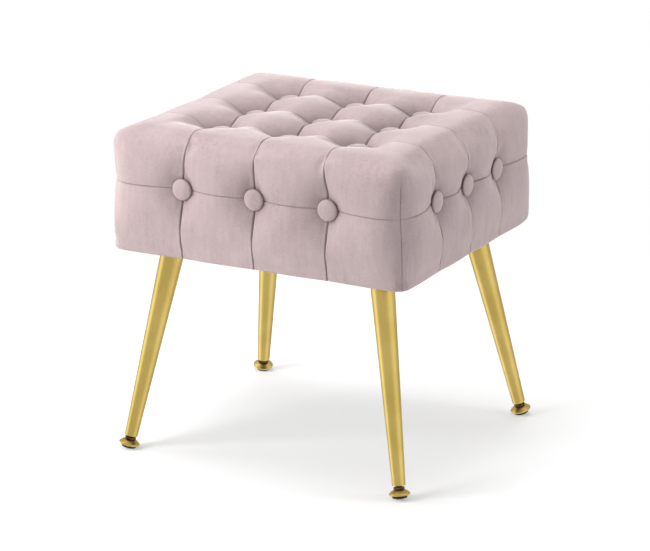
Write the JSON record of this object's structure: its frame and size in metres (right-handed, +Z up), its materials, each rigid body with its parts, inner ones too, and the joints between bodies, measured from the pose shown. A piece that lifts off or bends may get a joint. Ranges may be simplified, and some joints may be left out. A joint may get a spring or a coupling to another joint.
{
  "type": "upholstered vanity stool",
  "caption": "Backless vanity stool: a button-tufted velvet block seat on splayed, tapered brass-finished legs with screw-in levelling glides.",
  "frame": {"origin": "on the floor, below the middle of the seat", "axes": "+Z up, X along the long side of the seat, -Y towards the front"},
  "size_m": [0.4336, 0.3752, 0.4398],
  "materials": {
    "velvet": "matte",
    "foam": "matte",
    "plywood": "matte",
    "softwood": "matte",
    "lining": "matte",
    "zinc_plate": "satin",
    "brass_finish": "satin",
    "dark_steel": "satin",
    "black_plastic": "matte"
  },
  "bodies": {
    "stool": {"velvet_cover": "velvet", "top_button_front_left": "velvet", "top_button_front_middle": "velvet", "top_button_front_right": "velvet", "top_button_middle_left": "velvet", "top_button_middle_middle": "velvet", "top_button_middle_right": "velvet", "top_button_back_left": "velvet", "top_button_back_middle": "velvet", "top_button_back_right": "velvet", "front_button_left": "velvet", "front_button_middle": "velvet", "front_button_right": "velvet", "back_button_left": "velvet", "back_button_middle": "velvet", "back_button_right": "velvet", "left_button_front": "velvet", "left_button_middle": "velvet", "left_button_back": "velvet", "right_button_front": "velvet", "right_button_middle": "velvet", "right_button_back": "velvet", "foam_top": "foam", "foam_side_band": "foam", "top_panel": "plywood", "base_board": "plywood", "front_rail": "softwood", "back_rail": "softwood", "left_rail": "softwood", "right_rail": "softwood", "corner_block_front_left": "softwood", "corner_block_front_right": "softwood", "corner_block_back_left": "softwood", "corner_block_back_right": "softwood", "dust_cover": "lining", "leg_plate_front_left": "zinc_plate", "leg_plate_front_right": "zinc_plate", "leg_plate_back_left": "zinc_plate", "leg_plate_back_right": "zinc_plate", "leg_front_left": "brass_finish", "leg_front_right": "brass_finish", "leg_back_left": "brass_finish", "leg_back_right": "brass_finish", "leg_insert_front_left": "zinc_plate", "leg_insert_front_right": "zinc_plate", "leg_insert_back_left": "zinc_plate", "leg_insert_back_right": "zinc_plate"},
    "pad_fl": {"glide_pad_front_left": "black_plastic"},
    "glide_fl": {"glide_stem_front_left": "dark_steel", "glide_disc_front_left": "brass_finish"},
    "pad_fr": {"glide_pad_front_right": "black_plastic"},
    "glide_fr": {"glide_stem_front_right": "dark_steel", "glide_disc_front_right": "brass_finish"},
    "pad_bl": {"glide_pad_back_left": "black_plastic"},
    "glide_bl": {"glide_stem_back_left": "dark_steel", "glide_disc_back_left": "brass_finish"},
    "pad_br": {"glide_pad_back_right": "black_plastic"},
    "glide_br": {"glide_stem_back_right": "dark_steel", "glide_disc_back_right": "brass_finish"}
  },
  "joints": [
    {"name": "glide_fl_travel", "type": "slide", "parent": "stool", "child": "pad_fl", "axis": [-0.177, -0.177, -0.9681], "range_m": [-0.0016, 0.0081]},
    {"name": "glide_fl_turn", "type": "hinge", "parent": "pad_fl", "child": "glide_fl", "pos_m": [-0.1515, -0.1255, 0.274], "axis": [-0.177, -0.177, -0.9681], "range_deg": [-432, 2304]},
    {"name": "glide_fr_travel", "type": "slide", "parent": "stool", "child": "pad_fr", "axis": [0.177, -0.177, -0.9681], "range_m": [-0.0016, 0.0081]},
    {"name": "glide_fr_turn", "type": "hinge", "parent": "pad_fr", "child": "glide_fr", "pos_m": [0.1515, -0.1255, 0.274], "axis": [0.177, -0.177, -0.9681], "range_deg": [-432, 2304]},
    {"name": "glide_bl_travel", "type": "slide", "parent": "stool", "child": "pad_bl", "axis": [-0.177, 0.177, -0.9681], "range_m": [-0.0016, 0.0081]},
    {"name": "glide_bl_turn", "type": "hinge", "parent": "pad_bl", "child": "glide_bl", "pos_m": [-0.1515, 0.1255, 0.274], "axis": [-0.177, 0.177, -0.9681], "range_deg": [-432, 2304]},
    {"name": "glide_br_travel", "type": "slide", "parent": "stool", "child": "pad_br", "axis": [0.177, 0.177, -0.9681], "range_m": [-0.0016, 0.0081]},
    {"name": "glide_br_turn", "type": "hinge", "parent": "pad_br", "child": "glide_br", "pos_m": [0.1515, 0.1255, 0.274], "axis": [0.177, 0.177, -0.9681], "range_deg": [-432, 2304]}
  ],
  "couplings": [
    {"joint": "glide_fl_travel", "follows": "glide_fl_turn", "m_per_rad": 0.00019894},
    {"joint": "glide_fr_travel", "follows": "glide_fr_turn", "m_per_rad": 0.00019894},
    {"joint": "glide_bl_travel", "follows": "glide_bl_turn", "m_per_rad": 0.00019894},
    {"joint": "glide_br_travel", "follows": "glide_br_turn", "m_per_rad": 0.00019894}
  ]
}
